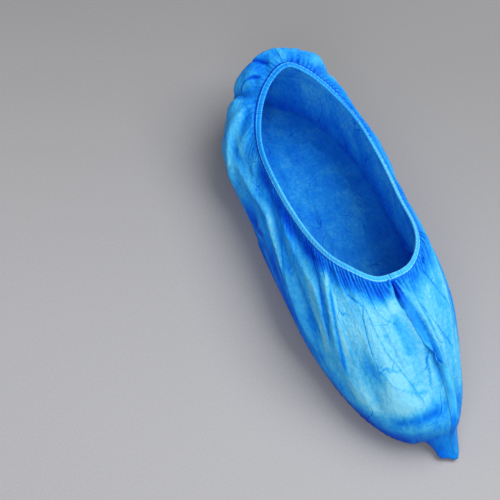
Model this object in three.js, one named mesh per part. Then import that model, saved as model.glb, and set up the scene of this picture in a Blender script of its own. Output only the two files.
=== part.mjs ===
// Disposable elastic-top shoe cover, keeping the shape that a low lace-up shoe gives it.
// Millimetres, +Z up, toe towards -Y, heel towards +Y, outer side of the foot towards -X.
// The origin is on the inside of the sole, midway between toe and heel, where the shoe stands.
// One sheet of thin film is folded along the middle of the sole and welded at both ends, which makes
// a bag with a pointed corner at the toe and another at the heel. Each long edge of the sheet is
// turned over as a hem, and a flat elastic runs in the hem and draws the mouth in round the shoe.
import * as THREE from "three";

// Driving dimensions
const wall = 1; // film, drawn thicker than the real 0.04 mm
const gap = 0.3; // between neighbouring pieces
const sideStations = 46; // lines up each side, from the toe weld to the heel weld
const soleRows = 4; // rows from the middle of the sole to its edge
const upperRows = 12; // rows from the edge of the sole to the rim
const middleShortening = 0.98; // the middle line of the sole stops just short of both welds
const cornerFlattening = 0.75; // how far the tips of the corners lie down on the floor
const rowSpread = 1.25; // above 1 sets the rows closer together near the floor
const elastic = { thickness: 1, width: 2 };
const hemOverlap = 1.6; // how far the hem reaches down over the film
const seam = { width: 3, thickness: 1, firstRow: 5, belowRim: 3 };

// Lines up both sides, in order from the toe to the heel. Each place is [reach to the outer side,
// reach to the inner side, along Y, height above the floor]. edge is the outline of the sole, girth
// the widest line, shoulder where the film turns in over the foot, and rim where it enters the hem.
const stations = [
  { at: "toe weld", edge: [-3, 3, -143, 6], girth: [-4, 4, -141, 27],
    shoulder: [-7, 7, -97, 52], rim: [2, -2, -42, 65] },
  { at: "toe corner", edge: [21, 15, -135, 3], girth: [24, 17, -132, 25],
    shoulder: [22, 16, -92, 51], rim: [14, 13, -40, 66] },
  { at: "toe side", edge: [38, 28, -113, 1], girth: [43, 31.5, -109, 21],
    shoulder: [38, 31, -76, 50], rim: [26, 25, -29, 67] },
  { at: "ball", edge: [49, 41, -78, 0], girth: [55, 44, -75, 18],
    shoulder: [49, 41, -50, 48], rim: [35, 33, -12, 63] },
  { at: "instep", edge: [54, 47, -34, 0], girth: [60, 50.5, -30, 16],
    shoulder: [55, 46, -8, 43], rim: [40, 36.5, 14, 57] },
  { at: "waist", edge: [53, 49, 26, 0], girth: [60, 55, 28, 15],
    shoulder: [55, 50, 38, 38], rim: [42, 40, 50, 53] },
  { at: "ankle", edge: [49, 47, 76, 0], girth: [58, 55, 78, 18],
    shoulder: [53, 50, 82, 39], rim: [40, 39, 86, 52] },
  { at: "heel side", edge: [41, 38, 110, 0], girth: [52, 47, 116, 23],
    shoulder: [46, 42, 119, 49], rim: [31, 30, 112, 57] },
  { at: "heel corner", edge: [24, 22, 135, 1], girth: [34, 30, 143, 33],
    shoulder: [29, 26, 146, 60], rim: [17, 16, 130, 65] },
  { at: "heel weld", edge: [0, 0, 143, 3], girth: [0, 0, 153, 36],
    shoulder: [0, 0, 156, 66], rim: [0, 0, 137, 71] },
];

// Pointed corners of the bag: the film within radius of the root is drawn out by reach.
const corners = [
  { at: "toe", root: [3, -142, 5], reach: [4, -17, 0], radius: 15 },
  { at: "heel", root: [0, 143, 3], reach: [-2, 11, 0], radius: 11 },
];

// Main folds. side is -1 for the outer side and 1 for the inner, along runs from the toe weld (0) to
// the heel weld (1), up runs from the edge of the sole (0) to the rim (1), half is half the width as
// a share of the side's length, and a rise below zero is a hollow.
const folds = [
  { at: "toe pleat", side: 1, along: [0.08, 0.1], up: [0.15, 0.98], half: 0.03, rise: 2.4 },
  { at: "toe hollow", side: -1, along: [0.07, 0.05], up: [0.5, 0.98], half: 0.025, rise: -2 },
  { at: "instep fold", side: -1, along: [0.18, 0.36], up: [0.1, 0.95], half: 0.02, rise: 2.4 },
  { at: "outer drape", side: -1, along: [0.28, 0.5], up: [0.05, 0.95], half: 0.022, rise: 2.8 },
  { at: "waist drape", side: -1, along: [0.42, 0.64], up: [0.05, 0.9], half: 0.025, rise: 3 },
  { at: "waist hollow", side: -1, along: [0.52, 0.7], up: [0.1, 0.8], half: 0.025, rise: -2.2 },
  { at: "heel drape", side: -1, along: [0.74, 0.8], up: [0.1, 0.9], half: 0.025, rise: 2.4 },
  { at: "heel hollow", side: -1, along: [0.87, 0.86], up: [0.1, 0.95], half: 0.022, rise: -3 },
  { at: "inner fold", side: 1, along: [0.16, 0.32], up: [0.1, 0.95], half: 0.02, rise: 2 },
  { at: "inner drape", side: 1, along: [0.3, 0.48], up: [0.05, 0.95], half: 0.022, rise: 2.4 },
  { at: "inner waist", side: 1, along: [0.5, 0.68], up: [0.05, 0.9], half: 0.025, rise: 2.4 },
  { at: "inner heel", side: 1, along: [0.8, 0.84], up: [0.1, 0.9], half: 0.025, rise: 2.2 },
];

const colours = { film: "#2a93e6", weld: "#1f6fe0", hem: "#63bdf2", elastic: "#dfe6ea" };

const around = 2 * sideStations;
const rows = soleRows + upperRows;
const floorToFrame = new THREE.Vector3(0, 0, -wall); // the floor lies one wall below the origin

// A curve round the bag through one column of the table, from the toe weld by way of the outer side.
function lineAround(column) {
  const outer = stations.map(({ [column]: [reach, , y, z] }) => new THREE.Vector3(-reach, y, z));
  const inner = stations.map(({ [column]: [, reach, y, z] }) => new THREE.Vector3(reach, y, z));
  const ring = [...outer, ...inner.slice(1, -1).reverse()];
  return new THREE.CatmullRomCurve3(ring, true, "catmullrom", 0.5);
}

const edgeLine = lineAround("edge");
const upperLines = ["girth", "shoulder", "rim"].map(lineAround);

function edgeAt(station) {
  const point = edgeLine.getPoint(station / around);
  return point.setZ(Math.max(point.z, 0));
}

// A point of the smooth bag: station counts round the mouth and row counts up from the mid sole.
function smoothPoint(station, row) {
  const edge = edgeAt(station);
  if (row <= soleRows) {
    const middle = edge.clone().lerp(edgeAt(around - station), 0.5);
    middle.multiply(new THREE.Vector3(1, middleShortening, middleShortening));
    return middle.lerp(edge, row / soleRows);
  }
  const upper = upperLines.map((line) => line.getPoint(station / around));
  const profile = new THREE.CatmullRomCurve3([edge, ...upper], false, "centripetal");
  return profile.getPointAt(((row - soleRows) / upperRows) ** rowSpread);
}

// How far the folds lift the film, fading out at both ends of each fold.
function foldRise(station, row) {
  const side = station <= sideStations ? -1 : 1;
  const along = Math.min(station, around - station) / sideStations;
  const up = (row - soleRows) / upperRows;
  let rise = 0;
  for (const fold of folds) {
    const way = (up - fold.up[0]) / (fold.up[1] - fold.up[0]);
    if (side !== fold.side || way < 0 || way > 1) continue;
    const offCentre = (along - THREE.MathUtils.lerp(...fold.along, way)) / fold.half;
    const fade = THREE.MathUtils.smoothstep(Math.min(way, 1 - way), 0, 0.25);
    rise += fold.rise * fade * Math.exp(-offCentre * offCentre);
  }
  return rise;
}

function drawnToCorners(point) {
  for (const { root, reach, radius } of corners) {
    const pull = Math.max(0, 1 - point.distanceTo(new THREE.Vector3(...root)) / radius);
    point.addScaledVector(new THREE.Vector3(...reach), pull);
    point.z *= 1 - cornerFlattening * pull;
  }
  return point;
}

// The two sides share the points along the middle of the sole.
function pointIndex(station, row) {
  const turned = station % around;
  if (row === 0) return Math.min(turned, around - turned);
  return sideStations + turned * rows + row;
}

function meshFrom(points, triangles) {
  const geometry = new THREE.BufferGeometry().setFromPoints(points);
  geometry.setIndex(triangles);
  geometry.computeVertexNormals();
  return geometry;
}

// The skin as points and triangles, station by station.
function bagSkin() {
  const points = [];
  const triangles = [];
  for (let station = 0; station < around; station++) {
    for (let row = 0; row <= rows; row++) {
      points[pointIndex(station, row)] = smoothPoint(station, row);
      if (row === rows) continue;
      const [a, b] = [pointIndex(station, row), pointIndex(station + 1, row)];
      const [c, d] = [pointIndex(station + 1, row + 1), pointIndex(station, row + 1)];
      triangles.push(a, d, c, a, c, b);
    }
  }
  return { points, triangles };
}

function normalsOf({ points, triangles }) {
  const normals = meshFrom(points, triangles).attributes.normal;
  return points.map((_, i) => new THREE.Vector3().fromBufferAttribute(normals, i));
}

// Folded skin, then the drawn-out outside and the inside one wall deeper.
const skin = bagSkin();
const smoothNormals = normalsOf(skin);
for (let station = 0; station < around; station++) {
  for (let row = soleRows + 1; row < rows; row++) {
    const i = pointIndex(station, row);
    skin.points[i].addScaledVector(smoothNormals[i], foldRise(station, row));
  }
}
const normals = normalsOf(skin);
const outside = skin.points.map((point) => drawnToCorners(point.clone()).add(floorToFrame));
const inside = skin.points.map((point, i) =>
  point.clone().addScaledVector(normals[i], -wall).add(floorToFrame));

function filmBody() {
  const count = outside.length;
  const triangles = [...skin.triangles];
  for (let i = 0; i < skin.triangles.length; i += 3) {
    const [a, b, c] = skin.triangles.slice(i, i + 3);
    triangles.push(a + count, c + count, b + count);
  }
  for (let station = 0; station < around; station++) {
    const [a, b] = [pointIndex(station, rows), pointIndex(station + 1, rows)];
    triangles.push(a, a + count, b + count, a, b + count, b);
  }
  return meshFrom([...outside, ...inside], triangles);
}

// A closed bar through a row of sections, all alike in outline. contour is the outline laid flat.
function closedBar(sections, contour) {
  const size = contour.length;
  const end = (sections.length - 1) * size;
  const triangles = [];
  for (let start = 0; start < end; start += size) {
    for (let i = 0; i < size; i++) {
      const [a, b] = [start + i, start + ((i + 1) % size)];
      triangles.push(a, b, b + size, a, b + size, a + size);
    }
  }
  for (const [a, b, c] of THREE.ShapeUtils.triangulateShape(contour, [])) {
    triangles.push(a, c, b, end + a, end + b, end + c);
  }
  return meshFrom(sections.flat(), triangles);
}

const flatOutline = (outline) => outline.map(([x, y]) => new THREE.Vector2(x, y));

// A bar of one outline along a row of frames: its numbers go out from the bag and up to the mouth.
function barAlong(frames, outline) {
  const sections = frames.map(({ origin, out, up }) =>
    outline.map(([o, u]) => origin.clone().addScaledVector(out, o).addScaledVector(up, u)));
  return closedBar(sections, flatOutline(outline));
}

// Frames along one side of the mouth, centred on the film's edge, stopping short at both welds.
function rimFrames(firstStation) {
  const frames = [];
  for (let station = firstStation; station <= firstStation + sideStations; station++) {
    const i = pointIndex(station, rows);
    const up = outside[i].clone().sub(outside[pointIndex(station, rows - 1)]).normalize();
    const out = normals[i].clone().addScaledVector(up, -normals[i].dot(up)).normalize();
    frames.push({ origin: outside[i].clone().addScaledVector(normals[i], -wall / 2), out, up });
  }
  for (const [end, next] of [[frames[0], frames[1]], [frames.at(-1), frames.at(-2)]]) {
    const along = next.origin.clone().sub(end.origin).normalize();
    end.origin.addScaledVector(along, gap / 2);
  }
  return frames;
}

const channel = wall / 2 + gap; // from the middle of the film to the inner faces of the hem
const hemTop = elastic.width + 2 * gap;
const hemOutline = [
  [channel, -hemOverlap],
  [channel + wall, -hemOverlap],
  [channel + wall, hemTop + wall],
  [-channel - wall, hemTop + wall],
  [-channel - wall, -hemOverlap],
  [-channel, -hemOverlap],
  [-channel, hemTop],
  [channel, hemTop],
];
const elasticOutline = [
  [elastic.thickness / 2, gap],
  [elastic.thickness / 2, gap + elastic.width],
  [-elastic.thickness / 2, gap + elastic.width],
  [-elastic.thickness / 2, gap],
];

const strip = [[-1, 0], [0, 0.1], [1, 0], [1, 1], [0, 1.1], [-1, 1]]; // only the order of the corners counts

// The welded edge as a narrow strip that hugs the film, from the corner up to the hem.
function seamStrip(station) {
  const outward = normalsOf({ points: outside, triangles: skin.triangles });
  const sections = [];
  for (let row = seam.firstRow; row <= rows; row++) {
    const i = pointIndex(station, row);
    const below = outside[pointIndex(station, row - 1)];
    const middle = outside[i].clone();
    if (row === rows) middle.lerp(below, seam.belowRim / middle.distanceTo(below));
    const [left, right] = [station + around - 1, station + 1].map((beside) => {
      const to = outside[pointIndex(beside, row)];
      return middle.clone().lerp(to, seam.width / 2 / middle.distanceTo(to));
    });
    const raised = (point, height) => point.clone().addScaledVector(outward[i], height);
    const low = [left, middle, right].map((point) => raised(point, gap));
    const high = [right, middle, left].map((point) => raised(point, gap + seam.thickness));
    sections.push([...low, ...high]);
  }
  return closedBar(sections, flatOutline(strip));
}

function subpart(name, geometry, color, roughness) {
  const mesh = new THREE.Mesh(geometry, new THREE.MeshStandardMaterial({ color, roughness, metalness: 0 }));
  mesh.name = name;
  return mesh;
}

const shoeCover = new THREE.Group();
shoeCover.add(subpart("film_body", filmBody(), colours.film, 0.35));
shoeCover.add(subpart("toe_seam", seamStrip(0), colours.weld, 0.3));
shoeCover.add(subpart("heel_seam", seamStrip(sideStations), colours.weld, 0.3));
for (const [side, firstStation] of [["outer", 0], ["inner", sideStations]]) {
  const frames = rimFrames(firstStation);
  shoeCover.add(subpart(`hem_${side}`, barAlong(frames, hemOutline), colours.hem, 0.4));
  shoeCover.add(subpart(`elastic_${side}`, barAlong(frames, elasticOutline), colours.elastic, 0.8));
}
export default shoeCover;
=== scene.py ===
import math

import bpy
import numpy as np
from mathutils import Matrix, Vector, noise


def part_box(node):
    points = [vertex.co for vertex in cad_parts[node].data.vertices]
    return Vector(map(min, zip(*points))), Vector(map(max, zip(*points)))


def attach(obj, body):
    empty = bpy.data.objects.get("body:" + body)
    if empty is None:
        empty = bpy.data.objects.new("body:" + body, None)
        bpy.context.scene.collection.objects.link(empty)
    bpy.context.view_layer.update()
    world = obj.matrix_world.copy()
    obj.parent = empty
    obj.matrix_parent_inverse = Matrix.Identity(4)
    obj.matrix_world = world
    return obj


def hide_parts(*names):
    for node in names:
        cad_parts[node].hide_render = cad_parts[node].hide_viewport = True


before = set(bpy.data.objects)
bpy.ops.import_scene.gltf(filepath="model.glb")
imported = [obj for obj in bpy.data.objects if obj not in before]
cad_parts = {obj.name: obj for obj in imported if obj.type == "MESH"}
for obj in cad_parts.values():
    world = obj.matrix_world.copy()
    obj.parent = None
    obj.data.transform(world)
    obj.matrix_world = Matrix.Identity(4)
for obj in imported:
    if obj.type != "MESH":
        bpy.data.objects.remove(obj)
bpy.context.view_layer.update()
bpy.ops.object.select_all(action="DESELECT")
print("frame loaded")

mm = 0.001
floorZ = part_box("film_body")[0].z

view = {
    "azimuth": -37.53,
    "elevation": 60.38,
    "roll": 15.71,
    "distance": 0.97181,
    "aim": (0, 0, 0.039),
    "slideRight": -0.07571,
    "slideUp": -0.0046,
    "lens": 100.8,
}


def addCamera():
    az, el, roll = (math.radians(view[k]) for k in ("azimuth", "elevation", "roll"))
    back = Vector((math.sin(az) * math.cos(el), -math.cos(az) * math.cos(el), math.sin(el)))
    level = Vector((math.cos(az), math.sin(az), 0))
    upright = back.cross(level)
    right = level * math.cos(roll) + upright * math.sin(roll)
    up = upright * math.cos(roll) - level * math.sin(roll)
    place = Vector(view["aim"]) + right * view["slideRight"] + up * view["slideUp"]
    place += back * view["distance"]
    bpy.ops.object.camera_add()
    camera = bpy.context.object
    camera.name = "camera"
    turned = Matrix((right, up, back)).transposed().to_4x4()
    camera.matrix_world = Matrix.Translation(place) @ turned
    camera.data.lens = view["lens"]
    camera.data.sensor_width = 36
    camera.data.clip_start = 0.01
    camera.select_set(False)
    bpy.context.scene.camera = camera


addCamera()
print("camera placed")

# The bag as the shoe fills it, in millimetres above the floor, a row for each line up the sides:
# [reach outwards, reach inwards, along Y, height] at the sole's edge, girth, shoulder and rim.
bag = {
    "lines": {
        "toe weld": ([-3, 3, -143, 6], [-4, 4, -141, 27], [-7, 7, -97, 52], [2, -2, -42, 65]),
        "toe corner": ([21, 15, -135, 3], [24, 17, -132, 25], [22, 16, -92, 51], [14, 13, -40, 66]),
        "toe side": ([38, 28, -113, 1], [43, 31.5, -109, 21], [38, 31, -76, 50], [26, 25, -29, 67]),
        "ball": ([49, 41, -78, 0], [55, 44, -75, 18], [49, 41, -50, 48], [35, 33, -12, 63]),
        "instep": ([54, 47, -34, 0], [60, 50.5, -30, 16], [55, 46, -8, 43], [40, 36.5, 14, 57]),
        "waist": ([53, 49, 26, 0], [60, 55, 28, 15], [55, 50, 38, 38], [42, 40, 50, 53]),
        "ankle": ([49, 47, 76, 0], [58, 55, 78, 18], [53, 50, 82, 39], [40, 39, 86, 52]),
        "heel side": ([41, 38, 110, 0], [52, 47, 116, 23], [46, 42, 119, 49], [31, 30, 112, 57]),
        "heel corner": ([24, 22, 135, 1], [34, 30, 143, 33], [29, 26, 146, 60], [17, 16, 130, 65]),
        "heel weld": ([0, 0, 143, 3], [0, 0, 153, 36], [0, 0, 156, 66], [0, 0, 137, 71]),
    },
    "middleShortening": 0.98,
    "corners": [
        {"root": (3, -142, 5), "reach": (4, -17, 0), "radius": 15},
        {"root": (0, 143, 3), "reach": (-2, 11, 0), "radius": 11},
    ],
    "cornerFlattening": 0.75,
    "sideSize": (340, 105),
}


def lineRound(level, turns):
    # closed curve round the bag at one level of the table, from the toe weld by the outer side
    rows = list(bag["lines"].values())
    outer = [(-row[level][0], *row[level][2:]) for row in rows]
    inner = [(row[level][1], *row[level][2:]) for row in rows[1:-1]]
    points = np.array(outer + inner[::-1], float)
    place = np.asarray(turns) % 1 * len(points)
    first = np.floor(place).astype(int)
    u = (place - first)[:, None]
    a, b, c, d = (points[(first + k) % len(points)] for k in (-1, 0, 1, 2))
    return b + u / 2 * (c - a + u * (2 * a - 5 * b + 4 * c - d + u * (3 * b - a - 3 * c + d)))


def mixed(t, t0, t1, p0, p1):
    share = ((t - t0) / (t1 - t0))[:, None]
    return p0 * (1 - share) + p1 * share


def linesUp(turns, steps=14):
    # for each turn, points from the middle of the sole over its edge and up to the rim
    edge, girth, shoulder, rim = (lineRound(level, turns) for level in range(4))
    across = lineRound(0, 1 - np.asarray(turns))
    edge[:, 2] = np.maximum(edge[:, 2], 0)
    across[:, 2] = np.maximum(across[:, 2], 0)
    shorter = np.array([1, bag["middleShortening"], bag["middleShortening"]])
    middle = (edge + across) / 2 * shorter
    sole = [middle + (edge - middle) * k / steps for k in range(steps)]
    knots = [2 * edge - girth, edge, girth, shoulder, rim, 2 * rim - shoulder]
    when = [np.zeros(len(edge))]
    for here, there in zip(knots, knots[1:]):
        when.append(when[-1] + np.sqrt(np.linalg.norm(there - here, axis=1)))
    upper = []
    for k in (1, 2, 3):
        for step in range(steps):
            t = when[k] + (when[k + 1] - when[k]) * step / steps
            ends = [mixed(t, when[j], when[j + 1], knots[j], knots[j + 1])
                    for j in (k - 1, k, k + 1)]
            pair = [mixed(t, when[k - 1], when[k + 1], ends[0], ends[1]),
                    mixed(t, when[k], when[k + 2], ends[1], ends[2])]
            upper.append(mixed(t, when[k], when[k + 1], *pair))
    return np.stack(sole + upper + [rim], 1), steps


def runAlong(points):
    steps = np.linalg.norm(np.diff(points, axis=-2), axis=-1)
    return np.concatenate([np.zeros((*steps.shape[:-1], 1)), np.cumsum(steps, -1)], -1)


def evenTurns(columns):
    # turns that space the columns evenly along both sides
    half = 1000
    fine = np.linspace(0, 1, 2 * half + 1)
    run = runAlong((lineRound(0, fine) + lineRound(1, fine) * 2 + lineRound(2, fine)) / 4)
    outer = np.interp(np.linspace(0, run[half], columns, endpoint=False), run, fine)
    inner = np.interp(np.linspace(run[half], run[-1], columns, endpoint=False), run, fine)
    return np.concatenate([outer, inner])


class Sheet:
    # a grid of points [column round the bag, row from the middle of the sole to the rim], and for
    # each its side (-1 outer, 1 inner), its share of the way along the side, and its share of the
    # way up from the edge of the sole to the rim
    def __init__(self, points, side, along, up):
        self.points, self.side, self.along, self.up = points, side, along, up


def bagSheet(columnsPerSide, rows):
    turns = evenTurns(columnsPerSide)
    fine, soleSteps = linesUp(turns)
    run = runAlong(fine)
    points = np.empty((len(turns), rows + 1, 3))
    up = np.empty((len(turns), rows + 1))
    for column, (line, length) in enumerate(zip(fine, run)):
        at = np.linspace(0, length[-1], rows + 1)
        points[column] = np.stack([np.interp(at, length, line[:, axis]) for axis in range(3)], -1)
        up[column] = (at - length[soleSteps]) / (length[-1] - length[soleSteps])
    along = np.repeat((1 - np.abs(1 - 2 * turns))[:, None], rows + 1, 1)
    side = np.repeat(np.where(turns <= 0.5, -1.0, 1.0)[:, None], rows + 1, 1)
    return Sheet(points, side, along, up)


def outward(points):
    across = np.roll(points, -1, 0) - np.roll(points, 1, 0)
    upward = np.gradient(points, axis=1)
    normal = np.cross(upward, across)
    normal[:, 0] = (0, 0, -1)
    return normal / np.maximum(np.linalg.norm(normal, axis=-1, keepdims=True), 1e-9)


def drawnToCorners(points):
    for corner in bag["corners"]:
        away = np.linalg.norm(points - np.array(corner["root"]), axis=-1)
        pull = np.maximum(0, 1 - away / corner["radius"])[..., None]
        points = points + np.array(corner["reach"]) * pull
        points[..., 2:] *= 1 - bag["cornerFlattening"] * pull
    return points


def sheetNumbers(around, rows):
    # the point numbers of a sheet; both sides share the points of the middle row
    half = around // 2
    numbers = np.empty((around, rows), int)
    numbers[:, 1:] = half + 1 + np.arange(around * (rows - 1)).reshape(around, rows - 1)
    numbers[:half + 1, 0] = np.arange(half + 1)
    numbers[half + 1:, 0] = np.arange(1, half)[::-1]
    return numbers


def meshPiece(name, points, faces):
    mesh = bpy.data.meshes.new(name)
    mesh.from_pydata((np.asarray(points) * mm + np.array([0, 0, floorZ])).tolist(), [], faces)
    piece = bpy.data.objects.new(name, mesh)
    bpy.context.scene.collection.objects.link(piece)
    mesh.shade_smooth()
    return piece


def sheetPiece(name, points):
    around, rows = points.shape[:2]
    numbers = sheetNumbers(around, rows)
    flat = np.empty((numbers.max() + 1, 3))
    flat[numbers] = points
    after = np.roll(numbers, -1, 0)
    quads = np.stack([numbers[:, :-1], numbers[:, 1:], after[:, 1:], after[:, :-1]], -1)
    return meshPiece(name, flat, quads.reshape(-1, 4).tolist())


def smooth(x, low, high):
    t = np.clip((x - low) / (high - low), 0, 1)
    return t * t * (3 - 2 * t)


def cloudy(x, y, seed, detail=2):
    # even noise from about -1 to 1 over arrays of places
    form = np.shape(x)
    flatX, flatY = (np.broadcast_to(values, form).ravel() for values in (x, y))
    values = [noise.fractal(Vector((a, b, seed)), 1.0, 2.0, detail) for a, b in zip(flatX, flatY)]
    return np.array(values).reshape(form) * 1.4


# Main folds, pressed into the film before it settles. A run is (percent along, percent up) from one
# end to the other; half and rise are in millimetres, and a rise below zero is a valley. A fold with
# no side is on the outer one.
folds = {
    "lean": 0.26,
    "perSide": 11,
    "rise": {"toe": 0.4, "waist": 0.9, "heel": 0.9, "innerShare": 2.2},
}
namedFolds = {
    "outer ridge": {"half": 5, "rise": 3.0, "run": [
        (72, 62), (61, 68), (56, 70), (51, 60), (45, 48), (40, 34), (36, 20)]},
    "outer hollow": {"half": 6, "rise": -2.6, "run": [
        (62, 92), (56, 83), (50, 72), (44, 60), (38, 46), (34, 32)]},
    "second ridge": {"half": 4, "rise": 1.6, "run": [
        (56, 96), (53, 87), (47, 81), (38, 70), (33, 43), (29, 30)]},
    "thin valley": {"half": 2.5, "rise": -1.0, "run": [
        (41, 98), (39, 82), (36, 73), (34, 60), (33, 40)]},
    "stripe": {"half": 3.5, "rise": 1.2, "run": [
        (34, 98), (33.5, 75), (31.5, 55), (30, 45), (27, 30)]},
    "heel notch": {"half": 5, "rise": -7.5, "run": [(87, 20), (86, 50), (84, 80), (83, 95)]},
    "heel lobe": {"half": 14, "rise": 0.8, "run": [(95, 25), (94, 55), (92, 85)]},
    "ankle swell": {"half": 16, "rise": 2.6, "run": [(78, 30), (72, 45), (66, 50)]},
    "heel streak": {"half": 5, "rise": 1.5, "run": [(80, 90), (75.6, 68), (70, 55), (66, 40)]},
    "front valley": {"half": 2.6, "rise": -3.5, "run": [(1.5, 100), (2, 95), (2.8, 88), (3, 80)]},
    "toe cap": {"half": 7, "rise": 1.2, "run": [(30, 30), (22, 27), (15, 29), (8, 33), (2, 34)]},
    "under the cap": {"half": 3, "rise": -0.8, "run": [
        (17, 17), (13, 19), (8, 23.5), (3, 26), (0, 26)]},
    "inner ridge": {"side": 1, "half": 5, "rise": 2.5, "run": [
        (68, 70), (56, 66), (46, 50), (38, 30)]},
    "inner hollow": {"side": 1, "half": 5, "rise": -3, "run": [
        (62, 90), (50, 72), (40, 52), (33, 35)]},
    "inner stripe": {"side": 1, "half": 4, "rise": 1.5, "run": [
        (40, 98), (34, 75), (28, 50), (24, 30)]},
}


def flowOf(along, up):
    # the same all the way down a fold, which leans towards the toe on its way to the sole
    lean = folds["lean"] * smooth(along, 0, 0.12) * (1 - smooth(along, 0.5, 1.1))
    return along + (1 - np.clip(up, 0, 1)) * lean


def distanceToRun(sheet, fold):
    # millimetres from each point to a fold's run, and how far along the run, from 0 to 1
    length, height = bag["sideSize"]
    x, y = sheet.along * length, sheet.up * height
    run = np.array(fold["run"]) / 100 * (length, height)
    legs = np.linalg.norm(np.diff(run, axis=0), axis=1)
    passed, whole = 0, legs.sum()
    far = 1e9
    best, way = np.full(x.shape, far), np.zeros(x.shape)
    for (ax, ay), (bx, by), leg in zip(run, run[1:], legs):
        t = np.clip(((x - ax) * (bx - ax) + (y - ay) * (by - ay)) / leg**2, 0, 1)
        away = np.hypot(x - ax - t * (bx - ax), y - ay - t * (by - ay))
        nearer = away < best
        best = np.where(nearer, away, best)
        way = np.where(nearer, (passed + t * leg) / whole, way)
        passed += leg
    best = np.where(sheet.side * fold.get("side", -1) < 0, far, best)
    return best, way


def pressed(sheet, mark, ends, power=2, amount=1):
    # what a mark adds at each point: all the amount on its run, less beside it and towards its ends
    away, way = distanceToRun(sheet, mark)
    fade = smooth(np.minimum(way, 1 - way), 0, ends)
    return amount * fade * np.exp(-((away / mark["half"]) ** power))


def foldRise(sheet):
    toe = 1 - smooth(sheet.along, 0.15, 0.32)
    heel = smooth(sheet.along, 0.75, 0.9)
    rise = folds["rise"]
    height = rise["toe"] * toe + rise["heel"] * heel + rise["waist"] * (1 - toe - heel)
    height *= smooth(sheet.up, 0.1, 0.5) * (1 - smooth(sheet.up, 0.94, 1))
    height *= np.where(sheet.side > 0, rise["innerShare"], 1)
    flow = flowOf(sheet.along, sheet.up)
    lengthwise = cloudy(flow * folds["perSide"], sheet.up * 1.2 + sheet.side * 7, 3.0)
    crosswise = cloudy(sheet.up * 5, sheet.along * 9 + sheet.side * 5, 11.0) * heel
    summed = height * 2 * (lengthwise + crosswise)
    for fold in namedFolds.values():
        summed += pressed(sheet, fold, 0.2, 1.6, fold["rise"])
    return summed


# The shoe that fills the bag, only as something to settle the film on. Inside is how far it stays
# inside the film, in millimetres, at the sole's edge, girth, shoulder and rim.
shoe = {
    "inside": {
        "toe weld": (9, 9, 3, 1), "toe corner": (7, 6, 1.5, 1), "toe side": (4, 3, 1, 1),
        "ball": (3, 3, 1, 1), "instep": (4, 6, 4, 2), "waist": (6, 9, 8, 4),
        "ankle": (6, 9, 9, 5), "heel side": (5, 8, 9, 6), "heel corner": (4, 7, 8, 8),
        "heel weld": (5, 8, 9, 10),
    },
    "floorGap": 0.8,
    "capRise": 12,
    "capRings": (0.3, 0.6, 0.95),
    "columnsPerSide": 70,
    "rows": 34,
}


def shoePiece():
    sheet = bagSheet(shoe["columnsPerSide"], shoe["rows"])
    table = np.array(list(shoe["inside"].values()), float)
    line = sheet.along * (len(table) - 1)
    levels = [np.interp(line, range(len(table)), table[:, k]) for k in range(4)]
    height = np.clip(sheet.up, 0, 1) * 3
    depth = sum(level * np.maximum(0, 1 - np.abs(height - k)) for k, level in enumerate(levels))
    depth[sheet.up < 0] = 0
    points = sheet.points - outward(sheet.points) * depth[..., None]
    points[..., 2] = np.maximum(points[..., 2], shoe["floorGap"])
    # closed over the opening by a cap that rises a little, as a foot does
    top = points[:, -1].mean(0) + (0, 0, shoe["capRise"])
    caps = [points[:, -1] + (top - points[:, -1]) * share for share in shoe["capRings"]]
    return sheetPiece("shoe", np.concatenate([points, np.stack(caps, 1)], 1))


# The film settles at ten times its size, and skin is the gap that it keeps from the shoe there.
# Surplus is how much each part of the film grows.
settling = {
    "scale": 10,
    "frames": 30,
    "skin": 0.004,
    "surplus": {"toe": 0.004, "waist": 0.045, "heel": 0.06, "innerShare": 2.0},
    "columnsPerSide": 170,
    "rows": 66,
}


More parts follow.
